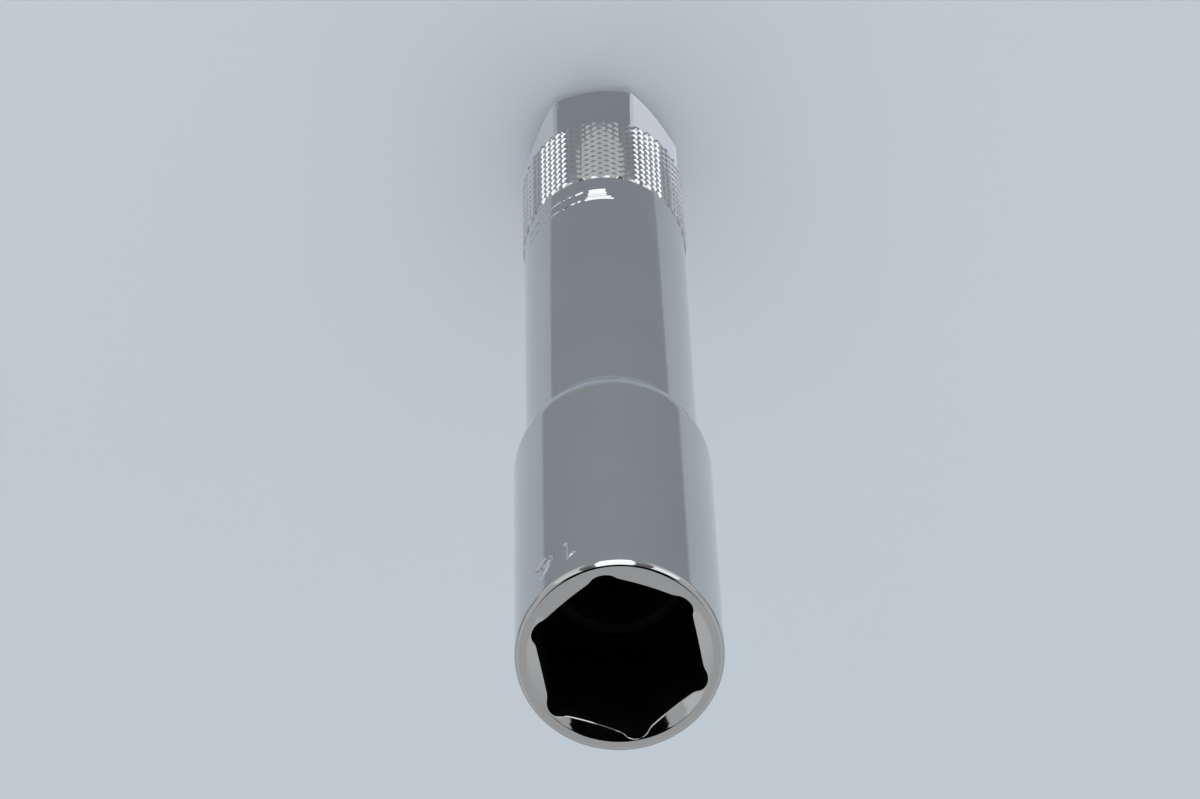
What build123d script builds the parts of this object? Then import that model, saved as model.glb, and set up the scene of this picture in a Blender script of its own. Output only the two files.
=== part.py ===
from build123d import *
import math
import os

# Long spark plug socket: a one-piece plated steel body and the rubber insert that holds the plug.
# The socket stands on its drive end, with its opening upwards. The origin is the centre of the
# drive-end face, and +Z runs along the axis towards the opening. Lengths are in millimetres.

os.makedirs("parts", exist_ok=True)

# Lengths along the axis, from the drive end to the opening
drive_hex_length = 14.4
grip_length = 18.3
stem_length = 59.0
shoulder_length = 4.8
barrel_length = 44.5

# Diameters and edges of the outside
barrel_diameter = 21.2
stem_diameter = 18.6
grip_diameter = 19.0
grip_edge_bevel = 0.25
rim_rounding = 0.6

# Hexagon round the drive end, for a wrench
drive_hex_flats = 16.0
drive_hex_corner_radius = 1.1
drive_face_diameter = 14.6
drive_bevel_angle = 32.0

# Square hole for the ratchet
square_flats = 9.6
square_corner_radius = 0.6
square_depth = 11.5
square_lead_in = 0.4
detent_ball_radius = 2.2
detent_depth = 0.5
detent_height = 4.6

# Hexagonal opening for the plug, with a round lobe in each corner
opening_flats = 16.0
opening_depth = 21.0
opening_turn = 33.8
lobe_radius = 1.5
lobe_centre_radius = 7.8
lobe_blend_radius = 2.0
lead_in_diameter = 18.9
lead_in_angle = 28.0

# Round pocket behind the hexagon, and the bore on to the drive square
pocket_diameter = 15.6
core_bore_diameter = 11.0

# Rubber insert
insert_length = 19.7
insert_setback = 0.3
insert_clearance = 0.05
grip_bore_diameter = 10.4
insert_lip_diameter = 13.0
insert_funnel_length = 4.0
insert_lip_rounding = 0.6
insert_edge_bevel = 0.5

# Heights worked out from the lengths above
grip_start = drive_hex_length
grip_end = grip_start + grip_length
stem_end = grip_end + stem_length
shoulder_end = stem_end + shoulder_length
overall_length = shoulder_end + barrel_length
opening_floor = overall_length - opening_depth
insert_front = opening_floor - insert_setback
pocket_floor = insert_front - insert_length


def turned(outline):
    """Solid turned from a closed outline of lines and arcs in the XZ plane."""
    return revolve(Plane.XZ * make_face(outline), Axis.Z)


def outside():
    """Turned outside: grip band, stem, rounded shoulder and barrel."""
    grip_radius = grip_diameter / 2
    stem_radius = stem_diameter / 2
    barrel_radius = barrel_diameter / 2
    shoulder = TangentArc(
        (barrel_radius, shoulder_end), (stem_radius, stem_end), tangent=(0, -1)
    )
    rim = TangentArc(
        (barrel_radius, overall_length - rim_rounding),
        (barrel_radius - rim_rounding, overall_length),
        tangent=(0, 1),
    )
    foot = Polyline(
        (0, overall_length),
        (0, grip_start),
        (grip_radius - grip_edge_bevel, grip_start),
        (grip_radius, grip_start + grip_edge_bevel),
        (grip_radius, grip_end - grip_edge_bevel),
        (grip_radius - grip_edge_bevel, grip_end),
        (stem_radius, grip_end),
        (stem_radius, stem_end),
    )
    side = Line((barrel_radius, shoulder_end), (barrel_radius, overall_length - rim_rounding))
    face = Line((barrel_radius - rim_rounding, overall_length), (0, overall_length))
    return turned([foot, shoulder, side, rim, face])


def drive_hex():
    """Wrench hexagon, with its end turned to a bevel that leaves a round face."""
    hexagon = RegularPolygon(drive_hex_flats / 2, 6, major_radius=False)
    hexagon = fillet(hexagon.vertices(), drive_hex_corner_radius)
    prism = extrude(hexagon, drive_hex_length)
    face_radius = drive_face_diameter / 2
    spread = drive_hex_length * math.tan(math.radians(drive_bevel_angle))
    bevel = Cone(
        face_radius,
        face_radius + spread,
        drive_hex_length,
        align=(Align.CENTER, Align.CENTER, Align.MIN),
    )
    return prism & bevel


def opening():
    """Hexagonal hole with lobed corners, its turned lead-in and the round pocket behind it."""
    hexagon = RegularPolygon(opening_flats / 2, 6, major_radius=False)
    lobes = PolarLocations(lobe_centre_radius, 6) * Circle(lobe_radius)
    outline = hexagon + lobes
    flat_ends = outline.vertices().group_by(lambda v: math.hypot(v.X, v.Y))[0]
    outline = fillet(flat_ends, lobe_blend_radius)
    hole = Pos(0, 0, opening_floor) * extrude(Rot(0, 0, opening_turn) * outline, opening_depth)
    lead_in_radius = lead_in_diameter / 2
    lead_in_depth = lead_in_radius * math.tan(math.radians(lead_in_angle))
    lead_in = Pos(0, 0, overall_length) * Cone(
        0, lead_in_radius, lead_in_depth, align=(Align.CENTER, Align.CENTER, Align.MAX)
    )
    pocket = Pos(0, 0, pocket_floor) * Cylinder(
        pocket_diameter / 2,
        opening_floor - pocket_floor,
        align=(Align.CENTER, Align.CENTER, Align.MIN),
    )
    return hole + lead_in + pocket


def drive_square():
    """Square hole for the ratchet."""
    square = Rectangle(square_flats, square_flats)
    return extrude(fillet(square.vertices(), square_corner_radius), square_depth)


def detent_balls():
    """Balls that leave a recess in each side of the square hole."""
    ball_reach = square_flats / 2 + detent_depth - detent_ball_radius
    ball = Pos(0, 0, detent_height) * Rot(0, 90, 0) * Sphere(detent_ball_radius)
    return PolarLocations(ball_reach, 4) * ball


def core_bore():
    """Round bore from the drive square to the floor of the insert's pocket."""
    bore = Cylinder(
        core_bore_diameter / 2,
        pocket_floor - square_depth,
        align=(Align.CENTER, Align.CENTER, Align.MIN),
    )
    return Pos(0, 0, square_depth) * bore


def socket_body():
    """The forged and machined steel body, one piece."""
    body = outside() + drive_hex() - opening() - drive_square() - core_bore()
    drive_face_edges = body.edges().group_by(Axis.Z)[0].sort_by(SortBy.LENGTH)
    body = chamfer(drive_face_edges[:-1], square_lead_in)
    for ball in detent_balls():
        body -= ball
    return body


def rubber_insert():
    """Rubber sleeve that rests on the pocket's floor and grips the plug's insulator."""
    outer = pocket_diameter / 2 - insert_clearance
    lip = insert_lip_diameter / 2
    grip = grip_bore_diameter / 2
    funnel_start = insert_front - insert_funnel_length
    outline = Polyline(
        (grip, pocket_floor),
        (outer - insert_edge_bevel, pocket_floor),
        (outer, pocket_floor + insert_edge_bevel),
        (outer, insert_front - insert_edge_bevel),
        (outer - insert_edge_bevel, insert_front),
        (lip, insert_front),
        (grip, funnel_start),
        close=True,
    )
    sleeve = turned([outline])
    edges = sleeve.edges().filter_by(GeomType.CIRCLE)
    lip_edge = [e for e in edges if abs(e.radius - lip) < 0.01 and abs(e.center().Z - insert_front) < 0.01]
    return fillet(lip_edge, insert_lip_rounding)


export_step(socket_body(), "parts/socket_body.step")
export_step(rubber_insert(), "parts/rubber_insert.step")
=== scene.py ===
import math

import bpy
import numpy as np
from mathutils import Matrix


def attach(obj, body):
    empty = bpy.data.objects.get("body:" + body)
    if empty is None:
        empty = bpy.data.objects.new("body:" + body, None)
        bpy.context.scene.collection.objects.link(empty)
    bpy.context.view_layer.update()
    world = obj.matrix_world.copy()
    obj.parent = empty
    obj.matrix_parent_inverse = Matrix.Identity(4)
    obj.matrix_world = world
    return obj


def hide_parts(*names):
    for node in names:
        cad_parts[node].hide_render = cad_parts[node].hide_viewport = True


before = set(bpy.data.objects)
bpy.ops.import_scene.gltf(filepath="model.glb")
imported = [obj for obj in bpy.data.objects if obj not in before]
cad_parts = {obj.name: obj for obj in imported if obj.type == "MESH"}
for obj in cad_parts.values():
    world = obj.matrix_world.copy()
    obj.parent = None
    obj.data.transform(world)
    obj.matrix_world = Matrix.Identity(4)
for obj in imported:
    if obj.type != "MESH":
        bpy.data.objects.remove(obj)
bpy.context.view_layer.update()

# Long spark plug socket standing on its drive end, opening upwards. The lengths below are in
# millimetres, as in the CAD part, and become metres when a mesh is made.
MM = 0.001

# Outside, with the plain core that the knurl hides
OVERALL = 141.0
GRIP_START, GRIP_END, GRIP_BEVEL = 14.4, 32.7, 0.25
STEM_END, SHOULDER_END = 91.7, 96.5
STEM_R, GRIP_R, BARREL_R = 9.3, 9.5, 10.6
RIM_ROUNDING = 0.6
CORE_R = 9.12

# Drive end
DRIVE_APOTHEM, DRIVE_CORNER = 8.0, 1.1
DRIVE_FACE_R, DRIVE_BEVEL = 7.3, math.tan(math.radians(32.0))
SQUARE_HALF, SQUARE_CORNER, SQUARE_LEAD_IN = 4.8, 0.6, 0.4
SQUARE_DEPTH = 11.5
DETENT_BALL, DETENT_REACH, DETENT_HEIGHT = 2.2, 3.1, 4.6

# Opening
OPENING_TURN = math.radians(33.8)
OPENING_APOTHEM, OPENING_FLOOR = 8.0, 120.0
LOBE_R, LOBE_CENTRE, LOBE_BLEND = 1.5, 7.8, 2.0
LEAD_IN_R, LEAD_IN_SLOPE = 9.45, math.tan(math.radians(28.0))
POCKET_R, POCKET_FLOOR = 7.8, 100.0
BORE_R = 5.5

# Rubber insert
INSERT_FRONT, INSERT_OUTER_R = 119.7, 7.75
INSERT_GRIP_R, INSERT_LIP_R = 5.2, 6.5
INSERT_FUNNEL, INSERT_LIP_ROUNDING, INSERT_EDGE = 4.0, 0.25, 0.5
RIB_HEIGHT, RIB_HALF_WIDTH, RIBS_BEHIND_FUNNEL = 0.1, 0.8, (3.0, 7.0, 11.0)

# Diamond knurl: pitches round and half pitches along the band, the steps inside a half pitch,
# the share of it that is flat on top, and how far the ends sink into the core and the band
KNURL_ROUND, KNURL_HALF_ROWS = 38, 23
KNURL_DEPTH = 0.3
KNURL_STEPS = (0.0, 0.25, 0.5, 0.75)
KNURL_TOP = 0.5
KNURL_SINK, KNURL_INSET = 0.1, 0.03

# Stamped marks: middle as azimuth and height, half sizes of their fields, and their grooves
SIZE_MARK_AZIMUTH, SIZE_MARK_Z = math.radians(300.9), 135.25
SIZE_MARK_HALF_WIDTH, SIZE_MARK_HALF_HEIGHT = 3.6, 2.7
SIZE_MARK_GROOVE, SIZE_MARK_DEPTH = 0.3, 0.13
BAR_ROW_AZIMUTH, BAR_ROW_Z = math.radians(293.9), 37.9
BAR_ROW_HALF_WIDTH, BAR_ROW_HALF_HEIGHT = 6.9, 2.2
BAR_ROW_GROOVE, BAR_ROW_DEPTH = 0.25, 0.2
BAR_ROW_SLANT = 0.3
FIELD_ROW_HEIGHT = 0.08

# Studio: the camera's azimuth from the front, how high the cards lie above the floor, where the
# panels on the floor end, and how far out the dome cards stand and how low they reach
CAMERA_AZIMUTH = math.radians(5.7)
FRONT_LIFT, PANEL_LIFT, HEXAGON_LIFT = 0.3, 0.4, 0.5
PANEL_END, DOME_R, HORIZON = 1150, 1200, -6.7

# Where along Y a card with two colours changes from the near one to the far one
CHANGE_START, CHANGE_END = -10, -65

# Points round the body, and the numbers of its materials: chrome, and steel darkened as painted shade
# inside
COLUMNS = 480
THETA = np.arange(COLUMNS) * 2 * math.pi / COLUMNS
CHROME, SHADED_BORE_STEEL = 0, 1


def polygon_radius(theta, sides, apothem, corner):
    """Distance from the axis to a polygon with rounded corners, one flat square to azimuth 0."""
    half = math.pi / sides
    local = np.abs((theta + half) % (2 * half) - half)
    flat = apothem / np.cos(local)
    centre = (apothem - corner) / math.cos(half)
    off = half - local
    inside = np.maximum(corner**2 - (centre * np.sin(off)) ** 2, 0)
    rounded = centre * np.cos(off) + np.sqrt(inside)
    on_flat = apothem * np.tan(local) <= (apothem - corner) * math.tan(half)
    return np.where(on_flat, flat, rounded)


def opening_radius(theta):
    """Distance from the axis to the hexagon whose corners are round lobes, with blends between."""
    half = math.pi / 6
    local = np.abs((theta - OPENING_TURN) % (2 * half) - half)
    lobe_n, lobe_t = LOBE_CENTRE * math.cos(half), LOBE_CENTRE * math.sin(half)
    blend_n = OPENING_APOTHEM + LOBE_BLEND
    reach = LOBE_R + LOBE_BLEND
    blend_t = lobe_t - math.sqrt(reach**2 - (blend_n - lobe_n) ** 2)
    share = LOBE_R / reach
    touch = math.atan2(lobe_t + (blend_t - lobe_t) * share, lobe_n + (blend_n - lobe_n) * share)
    flat = OPENING_APOTHEM / np.cos(local)
    blend_d, blend_a = math.hypot(blend_n, blend_t), math.atan2(blend_t, blend_n)
    off = local - blend_a
    root = np.sqrt(np.maximum(LOBE_BLEND**2 - (blend_d * np.sin(off)) ** 2, 0))
    blend = blend_d * np.cos(off) - root
    off = half - local
    root = np.sqrt(np.maximum(LOBE_R**2 - (LOBE_CENTRE * np.sin(off)) ** 2, 0))
    lobe = LOBE_CENTRE * np.cos(off) + root
    on_flat = local <= math.atan2(blend_t, OPENING_APOTHEM)
    return np.where(on_flat, flat, np.where(local <= touch, blend, lobe))


class Mesh:
    """Vertices in millimetres and faces with a material number, filled ring by ring."""

    def __init__(self):
        self.points, self.faces, self.numbers = [], [], []

    def add_points(self, x, y, z):
        start = len(self.points)
        x, y, z = np.broadcast_arrays(x, y, z)
        self.points.extend(zip(x.ravel().tolist(), y.ravel().tolist(), z.ravel().tolist()))
        return start

    def add_face(self, corners, number):
        self.faces.append(corners)
        self.numbers.append(number)

    def ring(self, radius, height, theta=THETA):
        return self.add_points(radius * np.cos(theta), radius * np.sin(theta), height)

    def band(self, low, high, number, columns=COLUMNS, skip=()):
        """Quads between two rings; skip holds the columns left open for a stamped field."""
        for k in range(columns):
            if k in skip:
                continue
            n = (k + 1) % columns
            self.add_face((low + k, low + n, high + n, high + k), number)

    def to_object(self, name, materials, sharp_angle):
        """Mesh object, smooth but for its sharp edges."""
        data = bpy.data.meshes.new(name)
        data.from_pydata((np.array(self.points) * MM).tolist(), [], self.faces)
        for material in materials:
            data.materials.append(material)
        data.polygons.foreach_set("material_index", self.numbers)
        data.polygons.foreach_set("use_smooth", [True] * len(self.faces))
        data.update()
        data.validate()
        data.set_sharp_from_angle(angle=math.radians(sharp_angle))
        piece = bpy.data.objects.new(name, data)
        bpy.context.scene.collection.objects.link(piece)
        return piece


def stroke_distance(u, v, strokes):
    """Distance of each point from the nearest of the strokes, which are lists of points."""
    nearest = np.full(u.shape, 1e9)
    for stroke in strokes:
        for (ax, ay), (bx, by) in zip(stroke[:-1], stroke[1:]):
            length = (bx - ax) ** 2 + (by - ay) ** 2
            t = np.clip(((u - ax) * (bx - ax) + (v - ay) * (by - ay)) / length, 0, 1)
            nearest = np.minimum(nearest, np.hypot(u - ax - t * (bx - ax), v - ay - t * (by - ay)))
    return nearest


def arc(cx, cy, rx, ry, start, end, steps=18):
    """Stroke along part of an ellipse, in degrees."""
    angles = np.radians(np.linspace(start, end, steps + 1))
    return [(cx + rx * math.cos(a), cy + ry * math.sin(a)) for a in angles]


def groove(distance, half_width, depth):
    """Depth of a stamped groove with sloping sides."""
    return depth * np.clip(1 - distance / half_width, 0, 1)


def size_mark(u, v):
    """Plain number of the opening's size in millimetres."""
    one = [[(-2.35, 1.05), (-1.45, 1.85), (-1.45, -1.85)]]
    six = [arc(1.35, -0.95, 0.92, 0.92, 0, 360, 28), arc(2.25, -0.95, 1.82, 2.85, 180, 100)]
    return groove(stroke_distance(u, v, one + six), SIZE_MARK_GROOVE, SIZE_MARK_DEPTH)


def bar_row(u, v):
    """Plain stamped row: dashes and dots in two lines, then a block of level lines."""
    near = [(-2.5, -1.7), (-1.1, -0.85), (-0.45, -0.2), (0.4, 1.9), (2.6, 3.2), (3.9, 4.5), (5.2, 5.8)]
    far = [(-2.2, -1.95), (-1.5, -1.2), (-0.8, -0.1), (0.7, 1.9), (2.8, 3.2), (4.1, 4.5), (5.4, 5.8)]
    block = [(-1.35, -5.1, -3.3), (-0.85, -5.1, -3.3), (-0.35, -5.2, -3.2)]
    block += [(0.2, -5.2, -3.2), (0.75, -5.7, -3.0), (1.3, -6.0, -2.8)]
    strokes = [[(a, y), (b, y)] for y, a, b in block]
    for y, dashes in ((-1.35, near), (1.15, far)):
        strokes += [[(a, y), (b, y + BAR_ROW_SLANT * (b - a if b < 0 else 0))] for a, b in dashes]
    return groove(stroke_distance(u, v, strokes), BAR_ROW_GROOVE, BAR_ROW_DEPTH)


def field(mesh, radius, azimuth, middle, half_width, half_height, depth):
    """Fine grid for a stamped field; gives back its lowest and highest height and its columns."""
    step = 2 * math.pi / COLUMNS
    first = round((azimuth - half_width / radius) / step)
    last = round((azimuth + half_width / radius) / step)
    angles = np.arange(2 * first, 2 * last + 1) * step / 2
    count = round(2 * half_height / FIELD_ROW_HEIGHT) + 1
    rows = np.linspace(middle - half_height, middle + half_height, count)
    angle, height = np.meshgrid(angles, rows)
    r = radius - depth((angle - azimuth) * radius, height - middle)
    odd = (np.arange(len(angles)) % 2).astype(bool)
    for edge in (0, -1):
        r[edge] = np.where(odd, radius * math.cos(step / 2), radius)
    r[:, 0] = r[:, -1] = radius
    start = mesh.add_points(r * np.cos(angle), r * np.sin(angle), height)
    wide = len(angles)
    for j in range(len(rows) - 1):
        for i in range(wide - 1):
            a = start + j * wide + i
            mesh.add_face((a, a + 1, a + 1 + wide, a + wide), CHROME)
    return rows[0], rows[-1], {k % COLUMNS for k in range(first, last)}


def knurl(mesh):
    """Diamond ridges on the grip band. Each diamond is a low pyramid with a flat top."""
    half_pitches = 2 * KNURL_ROUND
    columns = half_pitches * len(KNURL_STEPS)
    across = (np.arange(half_pitches)[:, None] + np.array(KNURL_STEPS)).ravel()
    along = (np.arange(KNURL_HALF_ROWS)[:, None] + np.array(KNURL_STEPS)).ravel()
    along = np.append(along, KNURL_HALF_ROWS)
    theta = across * math.pi / KNURL_ROUND
    row_height = (GRIP_END - GRIP_START) / KNURL_HALF_ROWS
    x = np.abs((across + 1) % 2 - 1)
    low = mesh.ring(CORE_R - KNURL_SINK, GRIP_START + KNURL_INSET, theta)
    for y in along:
        to_top = x + abs((y + 1) % 2 - 1)
        to_top = np.minimum(to_top, 2 - to_top)
        fall = np.maximum(to_top - KNURL_TOP, 0) / (1 - KNURL_TOP)
        z = GRIP_START + y * row_height
        end = GRIP_R - GRIP_BEVEL + min(z - GRIP_START, GRIP_END - z)
        high = mesh.ring(np.minimum(GRIP_R - KNURL_DEPTH * fall, end), z, theta)
        below = y - KNURL_STEPS[1] / 2
        knurl_band(mesh, low, high, columns, below % 2 < 1)
        low = high
    high = mesh.ring(CORE_R - KNURL_SINK, GRIP_END - KNURL_INSET, theta)
    mesh.band(low, high, CHROME, columns)


def knurl_band(mesh, low, high, columns, falling_row):
    """Two triangles for each cell, split along the valley or the crest that runs through it."""
    for k in range(columns):
        n = (k + 1) % columns
        falling_column = k // len(KNURL_STEPS) % 2 == 0
        a, b, c, d = low + k, low + n, high + n, high + k
        if falling_column == falling_row:
            mesh.add_face((a, b, d), CHROME)
            mesh.add_face((b, c, d), CHROME)
        else:
            mesh.add_face((a, b, c), CHROME)
            mesh.add_face((a, c, d), CHROME)


def socket_mesh():
    """Body as one closed run of rings from the drive face round to its square hole, and the knurl."""
    mesh = Mesh()
    drive = polygon_radius(THETA - math.pi / 6, 6, DRIVE_APOTHEM, DRIVE_CORNER)
    square = polygon_radius(THETA, 4, SQUARE_HALF, SQUARE_CORNER)
    wide_square = polygon_radius(THETA, 4, SQUARE_HALF + SQUARE_LEAD_IN, SQUARE_CORNER + SQUARE_LEAD_IN)
    opening = opening_radius(THETA)
    rings = []

    def ring(radius, height, number=CHROME):
        rings.append((mesh.ring(radius, height), number))

    # Drive-end face, its turned bevel and the wrench hexagon
    ring(np.minimum(wide_square + 0.1, DRIVE_FACE_R - 0.32), 0)
    ring(DRIVE_FACE_R - 0.3, 0)
    ring(DRIVE_FACE_R - 0.12, 0)
    ring(DRIVE_FACE_R + 0.02, 0.06)
    ring(DRIVE_FACE_R + 0.12, 0.06 + 0.1 / DRIVE_BEVEL)
    edge = (drive - DRIVE_FACE_R) / DRIVE_BEVEL
    soft = np.minimum(0.35, 0.4 * edge)
    ring(drive - 2 * soft * DRIVE_BEVEL, edge - 2 * soft)
    ring(drive - soft * DRIVE_BEVEL, edge - soft)
    ring(drive - 0.16 * soft, edge - 0.1 * soft)
    ring(drive - 0.03 * soft, edge + 0.45 * soft)
    ring(drive, edge + soft)
    ring(drive, edge + 2 * soft)
    ring(drive, GRIP_START - 0.2)
    ring(drive, GRIP_START)

    # Step to the grip band and the core under the knurl
    ring(CORE_R, GRIP_START)
    ring(CORE_R, GRIP_END)

    # Stem with its row of bars
    ring(STEM_R - 0.08, GRIP_END)
    ring(STEM_R, GRIP_END + 0.08)
    ring(STEM_R, GRIP_END + 0.5)
    low, high, bar_columns = field(
        mesh, STEM_R, BAR_ROW_AZIMUTH, BAR_ROW_Z, BAR_ROW_HALF_WIDTH, BAR_ROW_HALF_HEIGHT, bar_row
    )
    ring(STEM_R, low)
    bars_at = len(rings) - 1
    ring(STEM_R, high)
    ring(STEM_R, STEM_END - 1.6)
    ring(STEM_R, STEM_END - 0.8)

    # Shoulder, a turned arc that meets the stem in a small hollow
    rise, width = SHOULDER_END - STEM_END, BARREL_R - STEM_R
    arc_r = (rise**2 + width**2) / (2 * width)
    sweep = math.asin(rise / arc_r)
    ring(STEM_R + 0.012, STEM_END - 0.3)
    ring(STEM_R + 0.05, STEM_END - 0.06)
    ring(STEM_R + 0.12, STEM_END + 0.12)
    for t in np.linspace(0.94, 0, 15):
        ring(BARREL_R - arc_r * (1 - math.cos(sweep * t)), SHOULDER_END - arc_r * math.sin(sweep * t))
    ring(BARREL_R, SHOULDER_END + 0.6)

    # Barrel with its size mark
    low, high, mark_columns = field(
        mesh,
        BARREL_R,
        SIZE_MARK_AZIMUTH,
        SIZE_MARK_Z,
        SIZE_MARK_HALF_WIDTH,
        SIZE_MARK_HALF_HEIGHT,
        size_mark,
    )
    ring(BARREL_R, low)
    mark_at = len(rings) - 1
    ring(BARREL_R, high)
    ring(BARREL_R, OVERALL - RIM_ROUNDING - 0.3)

    # Rounded rim and the narrow flat face
    for t in np.linspace(0, math.pi / 2, 9):
        ring(BARREL_R - RIM_ROUNDING * (1 - math.cos(t)), OVERALL - RIM_ROUNDING * (1 - math.sin(t)))
    ring(BARREL_R - RIM_ROUNDING - 0.1, OVERALL)
    ring(LEAD_IN_R + 0.03, OVERALL)
    ring(LEAD_IN_R + 0.01, OVERALL - 0.002)

    # Turned lead-in, softened where it meets the hexagon
    gap = LEAD_IN_R - opening
    lip = np.minimum(0.16, 0.3 * gap)
    for share in (0.03, 0.4, 0.7):
        radius = LEAD_IN_R - share * (gap - lip)
        ring(radius, OVERALL - (LEAD_IN_R - radius) * LEAD_IN_SLOPE)
    corner = OVERALL - gap * LEAD_IN_SLOPE
    ring(opening + lip, corner + lip * LEAD_IN_SLOPE)
    ring(opening + 0.62 * lip, corner + 0.62 * lip * LEAD_IN_SLOPE - 0.02 * lip)
    ring(opening + 0.26 * lip, corner - 0.05 * lip)
    ring(opening + 0.07 * lip, corner - 0.35 * lip)
    ring(opening, corner - 0.8 * lip)

    # Hexagon, pocket and bore, in steel whose dark colour is painted shade
    ring(opening, corner - 0.8 * lip - 0.1, SHADED_BORE_STEEL)
    ring(opening, OPENING_FLOOR + 0.2, SHADED_BORE_STEEL)
    ring(opening, OPENING_FLOOR, SHADED_BORE_STEEL)
    ring(POCKET_R, OPENING_FLOOR, SHADED_BORE_STEEL)
    ring(POCKET_R, POCKET_FLOOR, SHADED_BORE_STEEL)
    ring(BORE_R, POCKET_FLOOR, SHADED_BORE_STEEL)
    ring(BORE_R, SQUARE_DEPTH, SHADED_BORE_STEEL)

    # Drive square with its ball recesses
    ring(square, SQUARE_DEPTH)
    top = DETENT_HEIGHT + 1.5
    ring(square, top)
    local = np.abs((THETA + math.pi / 4) % (math.pi / 2) - math.pi / 4)
    for height in np.linspace(top - 0.12, DETENT_HEIGHT - 1.38, 16):
        inside = DETENT_BALL**2 - (height - DETENT_HEIGHT) ** 2 - (DETENT_REACH * np.sin(local)) ** 2
        ball = DETENT_REACH * np.cos(local) + np.sqrt(np.maximum(inside, 0))
        ring(np.where(inside > 0, np.maximum(square, ball), square), height)
    ring(square, DETENT_HEIGHT - 1.5)
    ring(square, SQUARE_LEAD_IN + 0.05)
    ring(square + 0.03, SQUARE_LEAD_IN - 0.05)
    ring(wide_square - 0.03, 0.05)

    for i, (low, number) in enumerate(rings):
        high = rings[(i + 1) % len(rings)][0]
        skip = bar_columns if i == bars_at else mark_columns if i == mark_at else ()
        mesh.band(low, high, number, skip=skip)
    knurl(mesh)
    return mesh


def insert_mesh():
    """Rubber sleeve with a rounded lip, a funnel and three low ribs in its grip."""
    mesh = Mesh()
    outline = [
        (INSERT_OUTER_R - INSERT_EDGE, POCKET_FLOOR),
        (INSERT_OUTER_R, POCKET_FLOOR + INSERT_EDGE),
        (INSERT_OUTER_R, INSERT_FRONT - INSERT_EDGE),
    ]
    centre = (INSERT_OUTER_R - INSERT_EDGE, INSERT_FRONT - INSERT_EDGE)
    for t in np.linspace(0, math.pi / 2, 6)[1:]:
        outline.append((centre[0] + INSERT_EDGE * math.cos(t), centre[1] + INSERT_EDGE * math.sin(t)))
    slant = math.atan2(INSERT_LIP_R - INSERT_GRIP_R, INSERT_FUNNEL)
    turn = math.pi / 2 - slant
    back = INSERT_LIP_ROUNDING * math.tan(turn / 2)
    centre = (INSERT_LIP_R + back, INSERT_FRONT - INSERT_LIP_ROUNDING)
    for t in np.linspace(0, turn, 8):
        r = centre[0] - INSERT_LIP_ROUNDING * math.sin(t)
        outline.append((r, centre[1] + INSERT_LIP_ROUNDING * math.cos(t)))
    funnel_end = INSERT_FRONT - INSERT_FUNNEL
    outline.append((INSERT_GRIP_R + 0.02, funnel_end + 0.06))
    for behind in RIBS_BEHIND_FUNNEL:
        for t in np.linspace(-1, 1, 9):
            r = INSERT_GRIP_R - RIB_HEIGHT * math.cos(t * math.pi / 2) ** 2
            outline.append((r, funnel_end - behind - RIB_HALF_WIDTH * t))
    outline.append((INSERT_GRIP_R, POCKET_FLOOR))
    theta = np.arange(180) * math.pi / 90
    rings = [mesh.ring(r, z, theta) for r, z in outline]
    for low, high in zip(rings, rings[1:] + rings[:1]):
        mesh.band(low, high, 0, len(theta))
    return mesh


def material(name):
    """New material, its node tree and its shader."""
    made = bpy.data.materials.new(name)
    made.use_nodes = True
    tree = made.node_tree
    shader = tree.nodes["Principled BSDF"]
    return made, tree, shader


def node(tree, kind, **values):
    made = tree.nodes.new(kind)
    for key, value in values.items():
        if key in made.inputs:
            made.inputs[key].default_value = value
        else:
            setattr(made, key, value)
    return made


def coordinates(tree, scale):
    """Object coordinates, stretched by a scale for each axis."""
    source = node(tree, "ShaderNodeTexCoord")
    mapping = node(tree, "ShaderNodeMapping")
    mapping.inputs["Scale"].default_value = scale
    tree.links.new(source.outputs["Object"], mapping.inputs["Vector"])
    return mapping.outputs["Vector"]


def noise(tree, scale, detail=3.0, stretch=(1, 1, 1)):
    made = node(tree, "ShaderNodeTexNoise", Scale=scale, Detail=detail)
    tree.links.new(coordinates(tree, stretch), made.inputs["Vector"])
    return made.outputs["Fac"]


def ramp(tree, source, low, high, at=(0.3, 0.7)):
    made = node(tree, "ShaderNodeValToRGB")
    made.color_ramp.elements[0].position, made.color_ramp.elements[1].position = at
    made.color_ramp.elements[0].color = (*low, 1)
    made.color_ramp.elements[1].color = (*high, 1)
    tree.links.new(source, made.inputs["Fac"])
    return made.outputs["Color"]


def spread(tree, source, low, high):
    """A noise's usual range mapped onto low to high."""
    made = node(tree, "ShaderNodeMapRange")
    made.inputs["From Min"].default_value, made.inputs["From Max"].default_value = 0.3, 0.7
    made.inputs["To Min"].default_value, made.inputs["To Max"].default_value = low, high
    tree.links.new(source, made.inputs["Value"])
    return made.outputs["Result"]


def bump(tree, shader, source, strength, distance):
    made = node(tree, "ShaderNodeBump", Strength=strength, Distance=distance)
    tree.links.new(source, made.inputs["Height"])
    tree.links.new(made.outputs["Normal"], shader.inputs["Normal"])


def chrome_material():
    made, tree, shader = material("plated_steel")
    shader.inputs["Metallic"].default_value = 1.0
    colour = ramp(tree, noise(tree, 55, 2), (0.455, 0.465, 0.475), (0.485, 0.495, 0.505))
    tree.links.new(colour, shader.inputs["Base Color"])
    tree.links.new(spread(tree, noise(tree, 260, 4), 0.05, 0.085), shader.inputs["Roughness"])
    bump(tree, shader, noise(tree, 900, 2, (1, 1, 0.04)), 0.06, 0.00002)
    return made


# Steel of the hexagon, pocket and bore, its colour darkened far below bare steel as painted shade in
# the hollow
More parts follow.
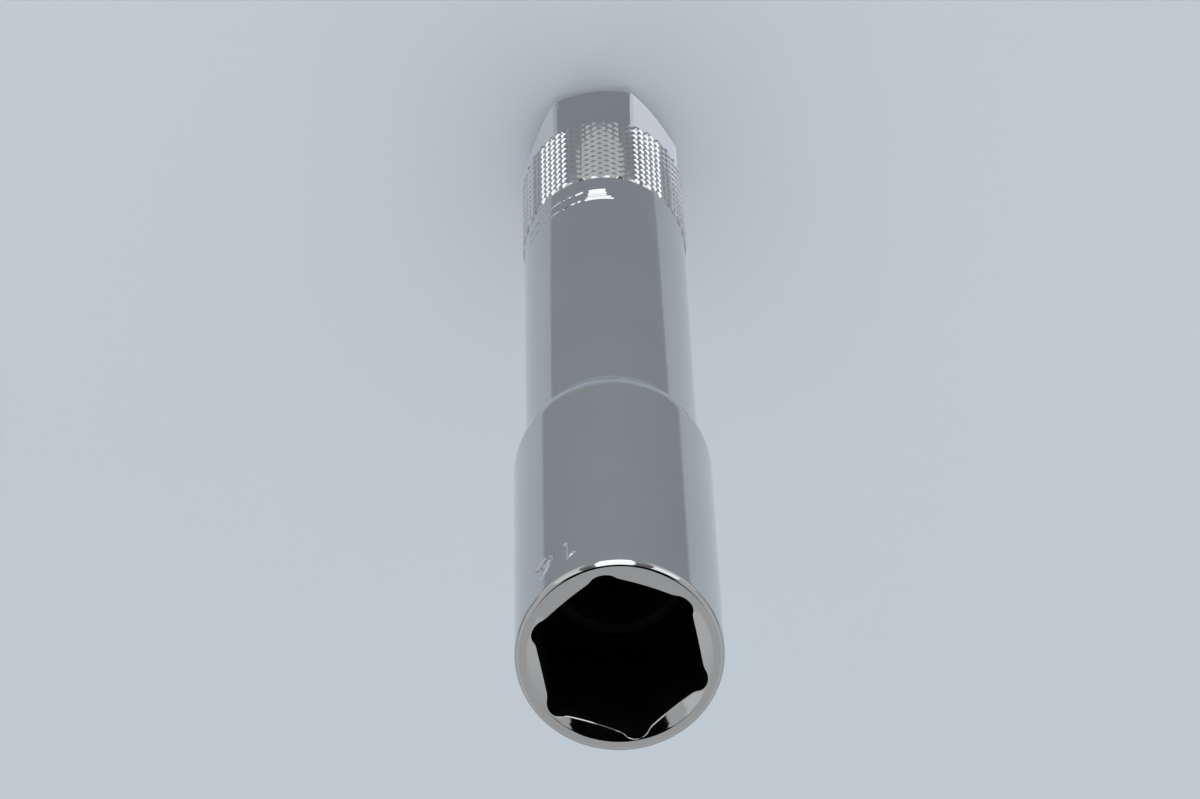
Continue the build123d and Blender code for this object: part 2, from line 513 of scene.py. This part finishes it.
def shaded_bore_material():
    made, tree, shader = material("bore_steel_painted_shade")
    shader.inputs["Metallic"].default_value = 1.0
    colour = ramp(tree, noise(tree, 300, 4), (0.025, 0.024, 0.021), (0.05, 0.048, 0.042))
    tree.links.new(colour, shader.inputs["Base Color"])
    tree.links.new(spread(tree, noise(tree, 700, 3), 0.34, 0.46), shader.inputs["Roughness"])
    bump(tree, shader, noise(tree, 1500, 3, (1, 1, 0.3)), 0.25, 0.00002)
    return made


# Black rubber, its colour darkened further than bare rubber as painted shade deep in the hole
def shaded_rubber_material():
    made, tree, shader = material("black_rubber")
    colour = ramp(tree, noise(tree, 400, 3), (0.003, 0.003, 0.0035), (0.008, 0.008, 0.0085))
    tree.links.new(colour, shader.inputs["Base Color"])
    tree.links.new(spread(tree, noise(tree, 500, 3), 0.42, 0.58), shader.inputs["Roughness"])
    bump(tree, shader, noise(tree, 2500, 3), 0.2, 0.00002)
    shader.inputs["Specular IOR Level"].default_value = 0.1
    return made


def floor_material():
    made, tree, shader = material("floor_paper")
    colour = ramp(tree, noise(tree, 6, 3), (0.62, 0.685, 0.745), (0.64, 0.705, 0.765))
    tree.links.new(colour, shader.inputs["Base Color"])
    shader.inputs["Roughness"].default_value = 0.9
    shader.inputs["Specular IOR Level"].default_value = 0.0
    bump(tree, shader, noise(tree, 900, 3), 0.05, 0.0001)
    return made


def glow(name, near, far):
    """Glow of a card for painted reflections, that turns from one colour to the other away from the
    socket.
    """
    made, tree, shader = material(name)
    source = node(tree, "ShaderNodeTexCoord")
    parts = node(tree, "ShaderNodeSeparateXYZ")
    tree.links.new(source.outputs["Object"], parts.inputs["Vector"])
    share = node(tree, "ShaderNodeMapRange")
    share.inputs["From Min"].default_value = CHANGE_START * MM
    share.inputs["From Max"].default_value = CHANGE_END * MM
    tree.links.new(parts.outputs["Y"], share.inputs["Value"])
    colour = ramp(tree, share.outputs["Result"], near, far, (0, 1))
    tree.links.new(colour, shader.inputs["Emission Color"])
    shader.inputs["Emission Strength"].default_value = 1.0
    shader.inputs["Base Color"].default_value = (0, 0, 0, 1)
    shader.inputs["Specular IOR Level"].default_value = 0.0
    return made


def even(name, colour):
    """Glow of one colour all over."""
    return glow(name, colour, colour)


def tone(name, level):
    """Glow of one grey all over."""
    return even(name, (level, level, level))


def flat_piece(name, corners, finish, faces=None):
    """Stage piece; its corners make one face where no faces are given."""
    data = bpy.data.meshes.new(name)
    data.from_pydata(corners, [], faces or [tuple(range(len(corners)))])
    data.materials.append(finish)
    piece = bpy.data.objects.new(name, data)
    bpy.context.scene.collection.objects.link(piece)
    return piece


def build_piece(mesh, name, node_name, materials, sharp_angle):
    """Piece that stands for a node of the part."""
    piece = mesh.to_object(name, materials, sharp_angle)
    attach(piece, "root")
    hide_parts(node_name)


steels = [chrome_material(), shaded_bore_material()]
build_piece(socket_mesh(), "chromed_body", "socket_body", steels, 30)
build_piece(insert_mesh(), "rubber_sleeve", "rubber_insert", [shaded_rubber_material()], 40)

# Floor
flat_piece("floor", [(-4, -4, 0), (4, -4, 0), (4, 4, 0), (-4, 4, 0)], floor_material())


def seen(right, forward, height):
    """Point by its distances from the axis, to the picture's right and towards the camera."""
    turn = CAMERA_AZIMUTH
    x = -forward * math.sin(turn) - right * math.cos(turn)
    y = -forward * math.cos(turn) + right * math.sin(turn)
    return (x, y, height)


def facing(azimuth, distance, height):
    """Point at an azimuth from the camera's own, which grows to the picture's right."""
    turn = math.radians(azimuth)
    return seen(distance * math.sin(turn), distance * math.cos(turn), height)


def card(name, corners, finish, faces=None):
    """Glowing card for a painted reflection, which only the socket's reflections show."""
    made = flat_piece(name, corners, finish, faces)
    made.visible_camera = made.visible_diffuse = made.visible_shadow = False


def floor_card(name, outline, finish):
    """Painted-reflection card on the floor, its outline in millimetres to the picture's right and
    forward.
    """
    card(name, [seen(right * MM, forward * MM, FRONT_LIFT * MM) for right, forward in outline], finish)


def strip_card(name, low, high, finish):
    """Card between two lines of as many points."""
    count = len(low)
    faces = [(i, i + 1, count + i + 1, count + i) for i in range(count - 1)]
    card(name, low + high, finish, faces)


def arc_card(name, start, end, inner, outer, height, finish):
    """Level card on part of a ring round the socket, in degrees and millimetres."""
    azimuths = np.linspace(start, end, 25)
    low, high = ([facing(a, radius * MM, height * MM) for a in azimuths] for radius in (inner, outer))
    strip_card(name, low, high, finish)


def dome_point(azimuth, elevation):
    """Point at a direction from the middle of the opening."""
    up = math.radians(elevation)
    return facing(azimuth, DOME_R * MM * math.cos(up), (OVERALL + DOME_R * math.sin(up)) * MM)


def dome_card(name, start, end, low, high, finish):
    """Card far out between two azimuths and two elevations."""
    azimuths = np.linspace(start, end, 17)
    low, high = ([dome_point(a, elevation) for a in azimuths] for elevation in (low, high))
    strip_card(name, low, high, finish)


# Painted reflection of a dark zone down the middle, with a tongue up to the drive hexagon, and a softer
# tone along its near edge on both sides, from glowing cards that only the chrome's reflections show
FRONT = [(-110, 10.4), (-5.5, 9.31), (-5.5, 7.4), (3.9, 8.35), (3.9, 9.29), (110, 10.4)]
FRONT += [(95, 85), (-95, 85)]
floor_card("front_card", FRONT, glow("card_grey", (0.353, 0.38, 0.417), (0.41, 0.458, 0.473)))
half_tone = even("card_half_tone", (0.45, 0.50, 0.545))
floor_card("right_edge", [(4.6, 9.3), (110, 10.4), (110, 6.5)], half_tone)
floor_card("left_edge", [(-4.6, 9.3), (-110, 10.4), (-110, 6.5)], half_tone)

# Bright and dark glowing panels in front, for painted highlights and painted reflections in the chrome,
# flat
# on the floor and upright beyond it: azimuths, where each begins on the floor, how high it reaches, and
# its levels on the floor and upright
PANELS = (
    ("middle", -17, 15, 88, 45, 2.2, 2.0),
    ("left_gap", -30, -17, 88, 45, 0.45, 0.2),
    ("right_gap", 15, 30, 88, 45, 0.45, 0.2),
    ("left_box", -52, -30, 400, 45, 1.1, 1.1),
    ("right_box", 30, 52, 400, 38, 1.6, 1.6),
    ("left_side", -85, -52, 500, 40, 0.7, 0.7),
    ("right_side", 52, 85, 500, 40, 0.68, 0.68),
)
for name, start, end, near, high, low_level, level in PANELS:
    low_tone = tone(f"panel_{name}_low", low_level)
    arc_card(f"{name}_floor", start, end, near, PANEL_END, PANEL_LIFT, low_tone)
    dome_card(f"{name}_upright", start, end, HORIZON, high, tone(f"panel_{name}", level))

# Painted reflections of tones on the floor at both sides of the panels: azimuths, distances and level
FLOOR_TONES = (
    ("left_low", -44, -30, 88, 400, 0.9),
    ("far_left_low", -70, -44, 88, 400, 0.8),
    ("right_low", 30, 44, 88, 400, 0.9),
    ("far_right_low", 44, 70, 88, 400, 0.8),
    ("left_wing", -100, -70, 200, 500, 0.22),
    ("right_wing", 70, 100, 200, 500, 0.22),
)
for name, start, end, near, far, level in FLOOR_TONES:
    arc_card(name, start, end, near, far, PANEL_LIFT, tone(f"tone_{name}", level))

# Painted reflections of patches that the lead-in shows, and of the room behind the socket
dome_card("patch_light", -97, -77, 42, 61, tone("tone_patch_light", 0.84))
dome_card("patch_grey", -77, -56, 44, 61, tone("tone_patch_grey", 0.62))
dome_card("rear", 145, 215, HORIZON, 27, tone("tone_rear", 0.6))

# Painted reflections of tones that the flats of the drive hexagon show, and of a light band on the
# shoulder
arc_card("hexagon_right", 27, 125, 7.6, 16, HEXAGON_LIFT, even("card_right", (0.84, 0.89, 0.98)))
arc_card("hexagon_left", -137, -38, 7.6, 16, HEXAGON_LIFT, even("card_left", (0.52, 0.57, 0.64)))
arc_card("shoulder_card", -62, 62, 9.6, 11.8, 90, even("card_shoulder", (0.43, 0.49, 0.55)))

# Painted dark reflection round the camera
black = tone("card_black", 0.001)
dome_card("camera_card", -56, 62, 45, 80, black)
dome_card("camera_card_left", -112, -56, 61, 80, black)
dome_card("camera_card_right", 62, 112, 61, 80, black)

# Soft studio light, brighter near the horizon
world = bpy.data.worlds.new("studio")
bpy.context.scene.world = world
world.use_nodes = True
sky = world.node_tree
direction = node(sky, "ShaderNodeTexCoord")
parts = node(sky, "ShaderNodeSeparateXYZ")
sky.links.new(direction.outputs["Generated"], parts.inputs["Vector"])
light = ramp(sky, parts.outputs["Z"], (0.73, 0.735, 0.74), (0.595, 0.60, 0.60), (0.5, 0.75))
sky.links.new(light, sky.nodes["Background"].inputs["Color"])

# One soft lamp straight above, which reflections don't show
lamp = bpy.data.lights.new("fill_top", "AREA")
lamp.shape, lamp.size, lamp.energy = "SQUARE", 0.45, 3.6
fill = bpy.data.objects.new("fill_top", lamp)
bpy.context.scene.collection.objects.link(fill)
fill.location = (0, 0, 1.3)
fill.visible_camera = fill.visible_glossy = False

# Camera at the photograph's viewing angle
camera_data = bpy.data.cameras.new("photo_camera")
camera_data.lens, camera_data.sensor_width = 189.655, 36.0
camera = bpy.data.objects.new("photo_camera", camera_data)
bpy.context.scene.collection.objects.link(camera)
camera.location = (-0.027606, -0.27658, 0.713703)
camera.rotation_mode = "QUATERNION"
camera.rotation_quaternion = (0.067025, -0.0071353, -0.2038745, 0.9766739)
bpy.context.scene.camera = camera

bpy.context.scene.view_settings.view_transform = "Standard"
